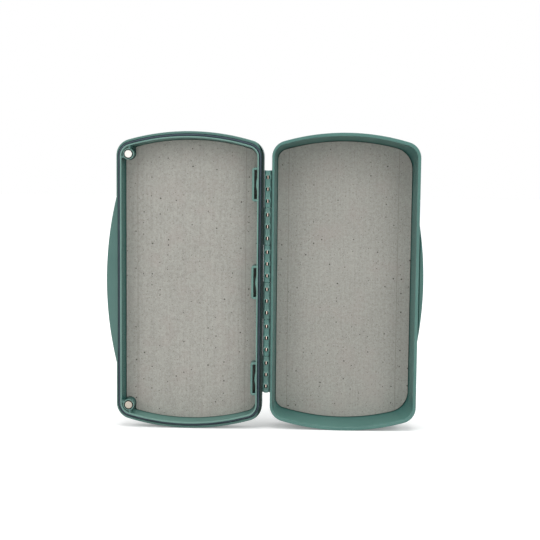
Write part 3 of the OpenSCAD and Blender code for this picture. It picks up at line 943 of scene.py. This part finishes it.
def clip_path():
    """Half of the U: from inside the lip out along Z = half and round the corner, each point with the
    path's left normal. The other half is its mirror image."""
    half, out, r = CLIP_LEN / 2 - CLIP_WALL / 2, LIP_X + CLIP_OUT - CLIP_WALL / 2, CLIP_TURN_R
    turns = [(math.sin(a), math.cos(a)) for a in np.linspace(0, np.pi / 2, 5)]
    upper = [(LIP_X - 0.45, half, 0.0, 1.0)]
    upper += [(out - r + r * sine, half - r + r * cosine, sine, cosine) for sine, cosine in turns]
    return np.array(upper + [(x, -z, nx, -nz) for x, z, nx, nz in upper[::-1]])


def clip_loop(middle):
    """The bar's rounded section at each point of the path: u across the bar along the normal, y deep."""
    side, front, shoulder, turns = CLIP_WALL / 2, LIP_TOP + 0.02, LIP_TOP + 0.6, quarter(CLIP_ROUND, 3)
    section = [(side, shoulder)] + [(side - turned, front + left) for turned, left in turns]
    section += [(-side + turned, front + left) for turned, left in turns[::-1]] + [(-side, shoulder)]
    section += [(-side + turned, CLIP_LOW - left) for turned, left in turns]
    section += [(side - turned, CLIP_LOW - left) for turned, left in turns[::-1]]
    u, y = np.array(section).T[:, None, :]
    path = clip_path()
    x, z = path[:, :1] + path[:, 2:3] * u, middle + path[:, 1:2] + path[:, 3:4] * u
    # Painted shade: below their front, the loops' walls in the slot stay at the deep colour.
    wear = np.broadcast_to(np.where(y < LIP_TOP + 0.5, CLIP_WEAR_AND_LIGHT, 0.0), x.shape)
    return shell(np.stack([x, y + 0 * x, z], axis=-1), wear=wear)


clip_middles = (-CLIP_PITCH, 0.0, CLIP_PITCH)
print("points along the path of a clip", len(clip_path()))

# %% [markdown]
# ## Snap bumps
# A low bump in each slot presses on the leaf's tongue, so that it snaps in. It could be a squashed
# cylinder, but only its rubbed upper edge shows. So it is a shallow arc along the lip, rounded over
# towards the front and cut off at the back.

# %% Snap bumps
BUMP_LEN, BUMP_H, BUMP_D, BUMP_ROOT, BUMP_WORN_AND_LIT_TO = 8.0, 0.7, 4.0, -0.3, 0.7
BUMP_SECTION = ((0.1, 0.55), (0.35, 0.85), (0.65, 1.0), (1.1, 1.0), (3.3, 1.0), (BUMP_D, 0.5))


def snap_bump(middle):
    """Height above the lip at z: an arc through the bump's ends, h(z) = h0 - (r - sqrt(r * r - z * z)). At
    each depth of the section stands a share of it."""
    r = (BUMP_LEN**2 / 4 + BUMP_H**2) / (2 * BUMP_H)
    z = np.linspace(-BUMP_LEN / 2, BUMP_LEN / 2, 21)
    height, root = BUMP_H - (r - np.sqrt(r * r - z * z)), np.full_like(z, BUMP_ROOT)
    section = [(depth, height * share) for depth, share in BUMP_SECTION]
    section = [(section[0][0], root), *section, (BUMP_D, root)]
    rings = [np.stack([LIP_X + out, 0 * z + LIP_TOP + depth, middle + z], -1) for depth, out in section]
    # Rubbing with a painted highlight on the front rows; rows deeper in the slot stay deep as painted
    # shade.
    worn_and_lit = [1.0 if depth < BUMP_WORN_AND_LIT_TO else 0.0 for depth, _ in section]
    return shell(np.stack(rings, axis=1), wear=np.broadcast_to(worn_and_lit, (len(z), len(section))))


parts = [make(middle) for middle in clip_middles for make in (clip_loop, snap_bump)]
make_piece("leaf_clips", "base", parts, base_plastic, "base_tray")

# %% [markdown]
# ## Foam
# Grey closed-cell foam lies in each half, and flies are stuck into it by their hooks. A photograph of
# foam could be tiled over it, but a pattern worked out from the point's own place has no seams and no
# end. It has clouds, fine lengthwise streaks from rolling, dark specks of three sizes and a few faint
# dark lines along its length. A speck is one round spot near the middle of a Voronoi cell.

# %% Foam finish
# Each size of speck: cell and largest radius in mm, share of cells with one, strength, dent and colour.
SPECKS = (
    (1.6, 0.42, 0.6, 0.45, 0.0, (118, 114, 106)),
    (2.7, 0.44, 0.7, 0.55, 0.3, (96, 92, 84)),
    (5.0, 0.6, 0.42, 0.85, 0.5, (62, 58, 52)),
)
SPECK_EDGE_MM, LINE_MM, LINE_SHARE, FOAM_DEPTH_MM = 0.25, 0.32, 0.5, 0.12


def specks(made, place, cell_mm, radius_mm, kept):
    """One speck near the middle of some cells: the cell's own random number decides whether it shows and
    how large, and its value is (radius - distance) over the width of its soft edge."""
    x, _, z = made.axes(place)
    flat = {"Vector": made.node("ShaderNodeCombineXYZ", {}, {0: x, 1: z, 2: 0.0}), "Scale": 1000 / cell_mm}
    distance = made.node("ShaderNodeTexVoronoi", {"voronoi_dimensions": "2D"}, flat)
    cell = made.node("ShaderNodeTexVoronoi", {"voronoi_dimensions": "2D"}, flat, "Color")
    luck = made.axes(cell)[0]
    radius = (luck - (1 - kept)) * (radius_mm / cell_mm / kept)
    return ((radius - distance) * (cell_mm / SPECK_EDGE_MM)).clamped()


def foam_finish(name, lines_mm):
    """Clouds, streaks, mottle and specks on warm grey. Near each line, given by its place in X, the colour
    darkens by 1 - distance / LINE_MM."""
    made = Finish(name, IOR=1.4, Specular_IOR_Level=0.15)
    place = made.place()
    x = made.axes(place)[0]
    clouds, warmth = made.noise(place, 40.0), made.noise(place, 14.0)
    streaks, mottle = made.noise(place, 0.9, 3.0, (1, 1, 45)), made.noise(place, 1.5, 3.0)
    fine = made.noise(place, 0.6)
    share = 0.5 + (clouds - 0.5) * 0.5 + (streaks - 0.5) * 0.6 + (mottle - 0.5) * 1.2 + (fine - 0.5) * 1.6
    colour = made.mixed(share.clamped(), linear(150, 149, 142), linear(178, 177, 170))
    colour = made.mixed(((warmth - 0.5) * 3).clamped() * 0.5, colour, linear(168, 160, 154))
    line = 0.0
    for at in lines_mm:
        line = line + (1 - (x * 1000 - at).absolute() / LINE_MM).clamped()
    colour = made.mixed(line * LINE_SHARE, colour, linear(118, 116, 108))
    height = 0.6 + (fine - 0.5) * 0.8 + (mottle - 0.5) * 0.5 + (streaks - 0.5) * 0.3
    for cell, radius, kept, strength, dent, tone in SPECKS:
        found = specks(made, place, cell, radius, kept)
        colour = made.mixed(found * strength, colour, linear(*tone))
        height = height - found * dent
    relief = made.bump(height, FOAM_DEPTH_MM)
    return made.feeds(Base_Color=colour, Roughness=0.86 + (fine - 0.5) * 0.2, Normal=relief)


BASE_LINES, LID_LINES = (13.6, 80.6), (12.4, 80.7)
base_foam = foam_finish("base_foam", [HINGE_AT[0] - x for x in BASE_LINES])
lid_foam = foam_finish("lid_foam", [HINGE_AT[0] + x for x in LID_LINES])
print("nodes in each foam finish", len(base_foam.node_tree.nodes))

# %% [markdown]
# ## Mat outlines
# A mat is die cut to the floor's outline, and the base's mat also goes round both bosses. A boolean
# could cut them out. But the outline is a list of points, so the stretch next to each boss is taken
# out and an arc about the boss is put in.

# %% Mat outlines
BOSS_CLEAR = BOSS_R + 0.25
base_edge = half_outline([base_floor_row(0, MAT_GAP)[1:]])[0]
lid_edge = half_outline([lid_floor_row(0, MAT_GAP)[1:]])[0]


def notched(outline):
    """The outline comes up the side, goes round the boss on a circle of radius BOSS_CLEAR, and on from
    above it by three points that round the tip. The lower half mirrors the upper one."""
    upper = outline[: len(outline) // 2]
    start = -math.acos((upper[:, 0].max() - BOSS_X) / BOSS_CLEAR)
    turn = np.linspace(start, -np.pi, 22)[:, None]
    circle = np.hstack([BOSS_X + BOSS_CLEAR * np.cos(turn), BOSS_Z + BOSS_CLEAR * np.sin(turn)])
    side = BOSS_X - BOSS_CLEAR
    top = np.interp(side, upper[::-1, 0], upper[::-1, 1])
    tip = np.array([[side, top - 0.5], [side - 0.1, top - 0.15], [side - 0.4, top + 0.05]])
    half = np.concatenate([circle, tip, upper[upper[:, 0] < side - 0.6]])
    return np.concatenate([half, half[::-1] * [1, -1]])


base_cut = notched(base_edge)
for name, edge in (("base", base_cut), ("lid", lid_edge)):
    print(name, "mat, millimetres", np.round(np.ptp(edge, axis=0), 1))

# %% [markdown]
# ## Foam mats
# Each mat is a flat sheet, 1.6 mm thick, glued down over its whole back. Cloth simulation would give a
# loose sheet its folds, but this one can't move. So it is its outline given a thickness, with the
# slightly rounded upper edge that a blade leaves in foam.

# %% Mats
BASE_MAT_TOP, LID_MAT_TOP = BASE_FLOOR - FILM_T - MAT_T, LID_FLOOR - FILM_T - MAT_T
MAT_ROUND = 0.15


def inset(outline, distance):
    """Every point moved in along the mean of its two edges' normals."""
    edges = np.roll(outline, -1, axis=0) - outline
    normals = np.stack([-edges[:, 1], edges[:, 0]], axis=1)
    normals /= np.maximum(np.linalg.norm(normals, axis=1), 1e-9)[:, None]
    mean = normals + np.roll(normals, 1, axis=0)
    mean /= np.maximum(np.linalg.norm(mean, axis=1), 1e-9)[:, None]
    return outline + mean * distance


def foam_sheet(outline, front):
    """A sheet with a rounded upper edge: rings of the outline from the back face to the front face."""
    rows = [(front + MAT_T, 0.0)] + [(front + left, turned) for turned, left in quarter(MAT_ROUND)]
    flats = [(y, inset(outline, by)) for y, by in rows]
    rings = [np.stack([flat[:, 0], np.full(len(flat), y), flat[:, 1]], axis=-1) for y, flat in flats]
    return shell(np.array(rings))


base_sheet, lid_sheet = foam_sheet(base_cut, BASE_MAT_TOP), foam_sheet(lid_edge, LID_MAT_TOP)
base_mat = make_piece("base_foam_mat", "base", [base_sheet], base_foam, "base_mat")
lid_mat = make_piece("lid_foam_mat", "lid", [lid_sheet], lid_foam, "lid_mat")

# %% [markdown]
# ## Adhesive film
# A thin film holds each mat. Only its edge could ever show, in the narrow gap round a mat, so a new
# mesh would add nothing and the CAD model's own film stays. It gets a milky finish with faint clouds
# where the glue took air.


# %% Adhesive film
def film_finish():
    """Clouds mix two creams and make the surface a little duller."""
    made = Finish("adhesive_film", IOR=1.45)
    clouds = made.noise(made.place(), 4.0, 3.0)
    colour = made.mixed(clouds, linear(216, 208, 188), linear(236, 232, 218))
    return made.feeds(Base_Color=colour, Roughness=0.3 + clouds * 0.2)


film = film_finish()
for name in ("base_film", "lid_film"):
    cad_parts[name].data.materials.clear()
    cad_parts[name].data.materials.append(film)
print("film finish", film.name)

# %% [markdown]
# ## The floor
# The photograph has a white sweep. A floor that only takes light would never be an even white without
# burning out the box, so it is a dull white surface for the shadow, and where it is seen, a share of
# white light on top. The share is smaller near the box, so that its shadow shows, and smaller still
# where the box nearly touches the floor, which paints a thin contact shadow that grounds it.

# %% Floor
FLOOR_SIZE, FLOOR_WHITE = 6.0, (0.65, 0.65, 0.65, 1)
GLOW_NEAR, GLOW_FAR, NEAR_M, FAR_M = 0.5, 1.0, 0.15, 0.9
# Painted contact shadow: how near the box the floor's openness is measured, and how low its glow falls
# there.
CONTACT_SHADE_REACH_M, CONTACT_SHADE_GLOW = 0.025, 0.4


def seen_share(made):
    """1 for rays from the camera, off gloss or through glass, 0 for light that falls on matt surfaces."""
    rays = ("Is Camera Ray", "Is Glossy Ray", "Is Transmission Ray")
    seen, glossy, clear = (made.node("ShaderNodeLightPath", {}, {}, ray) for ray in rays)
    return seen.or_more(glossy).or_more(clear)


def floor_surface():
    """Lit white, plus a glow of strength openness * seen * distance share. Where the box's nearness lowers
    the openness, the missing glow is a painted contact shadow.
    """
    material = bpy.data.materials.new("white_floor")
    material.use_nodes = True
    made = Nodes(material.node_tree)
    made.tree.nodes.remove(made.tree.nodes["Principled BSDF"])
    lit = made.node("ShaderNodeBsdfDiffuse", {}, {"Color": FLOOR_WHITE})
    away = made.node("ShaderNodeVectorMath", {"operation": "LENGTH"}, {0: made.place()}, "Value")
    far_share = made.ramp(away, GLOW_NEAR, GLOW_FAR, NEAR_M, FAR_M)
    shade_openness = made.node("ShaderNodeAmbientOcclusion", {}, {"Distance": CONTACT_SHADE_REACH_M}, "AO")
    strength = made.ramp(shade_openness, CONTACT_SHADE_GLOW, 1.0) * seen_share(made) * far_share
    glow = made.node("ShaderNodeEmission", {}, {"Strength": strength})
    made.lead("Material Output", Surface=made.node("ShaderNodeAddShader", {}, {0: lit, 1: glow}))
    return material


def floor_piece():
    """A square in the plane Z = 0."""
    side = FLOOR_SIZE / 2
    corners = [(-side, -side, 0), (side, -side, 0), (side, side, 0), (-side, side, 0)]
    mesh = bpy.data.meshes.new("floor")
    mesh.from_pydata(corners, [], [(0, 1, 2, 3)])
    mesh.materials.append(floor_surface())
    floor = bpy.data.objects.new("floor", mesh)
    bpy.context.scene.collection.objects.link(floor)
    return floor


floor_piece()
print("floor, metres", FLOOR_SIZE)

# %% [markdown]
# ## World and lamps
# The box is lit as small goods are: a large soft light on each side and one above, all a little in
# front, and two weaker ones behind that draw its edges. One big lamp at the camera would be simpler,
# but it would flatten the shallow walls. The world is white to the camera and only a weak fill for the
# box, and the lamps are set so that a colour facing the camera renders about as it is written.

# %% World and lamps
FILL, MIDDLE = 0.12, (0.0, 0.0, 0.09)
# Each lamp: its place, what it points at, its size in metres and its watts.
LAMPS = {
    "left_softbox": ((-1.2, -0.65, 0.72), MIDDLE, 1.2, 14.0),
    "left_back_softbox": ((-1.2, 0.9, 0.9), MIDDLE, 0.8, 5.0),
    "right_softbox": ((1.2, -0.65, 0.72), MIDDLE, 1.2, 14.0),
    "right_back_softbox": ((1.2, 0.9, 0.9), MIDDLE, 0.8, 5.0),
    "top_softbox": ((0.0, -0.34, 1.4), (0.0, 0.0, 0.0), 1.0, 14.0),
}


def lamp(name, at, towards, size, watts):
    """A square area lamp. It shines along -Z, so its Z axis points back from what it lights."""
    data = bpy.data.lights.new(name, "AREA")
    data.shape, data.size, data.energy = "SQUARE", size, watts
    made = bpy.data.objects.new(name, data)
    bpy.context.scene.collection.objects.link(made)
    back = np.array(at, float) - np.array(towards, float)
    back /= np.linalg.norm(back)
    side = np.cross([0, 0, 1], back)
    side /= np.linalg.norm(side)
    pose(made, (side, np.cross(back, side), back), at)


world = bpy.data.worlds.new("white_studio")
bpy.context.scene.world = world
world.use_nodes = True
sky = Nodes(world.node_tree)
sky.tree.nodes["Background"].inputs["Color"].default_value = (1, 1, 1, 1)
sky.lead("Background", Strength=sky.ramp(seen_share(sky), FILL, 1.0))
for name, settings in LAMPS.items():
    lamp(name, *settings)
bpy.context.scene.view_settings.view_transform = "Standard"
print("lamps", ", ".join(LAMPS))

# %% [markdown] ## Sizes and the end The dressed box has to fill the same space as the solids.
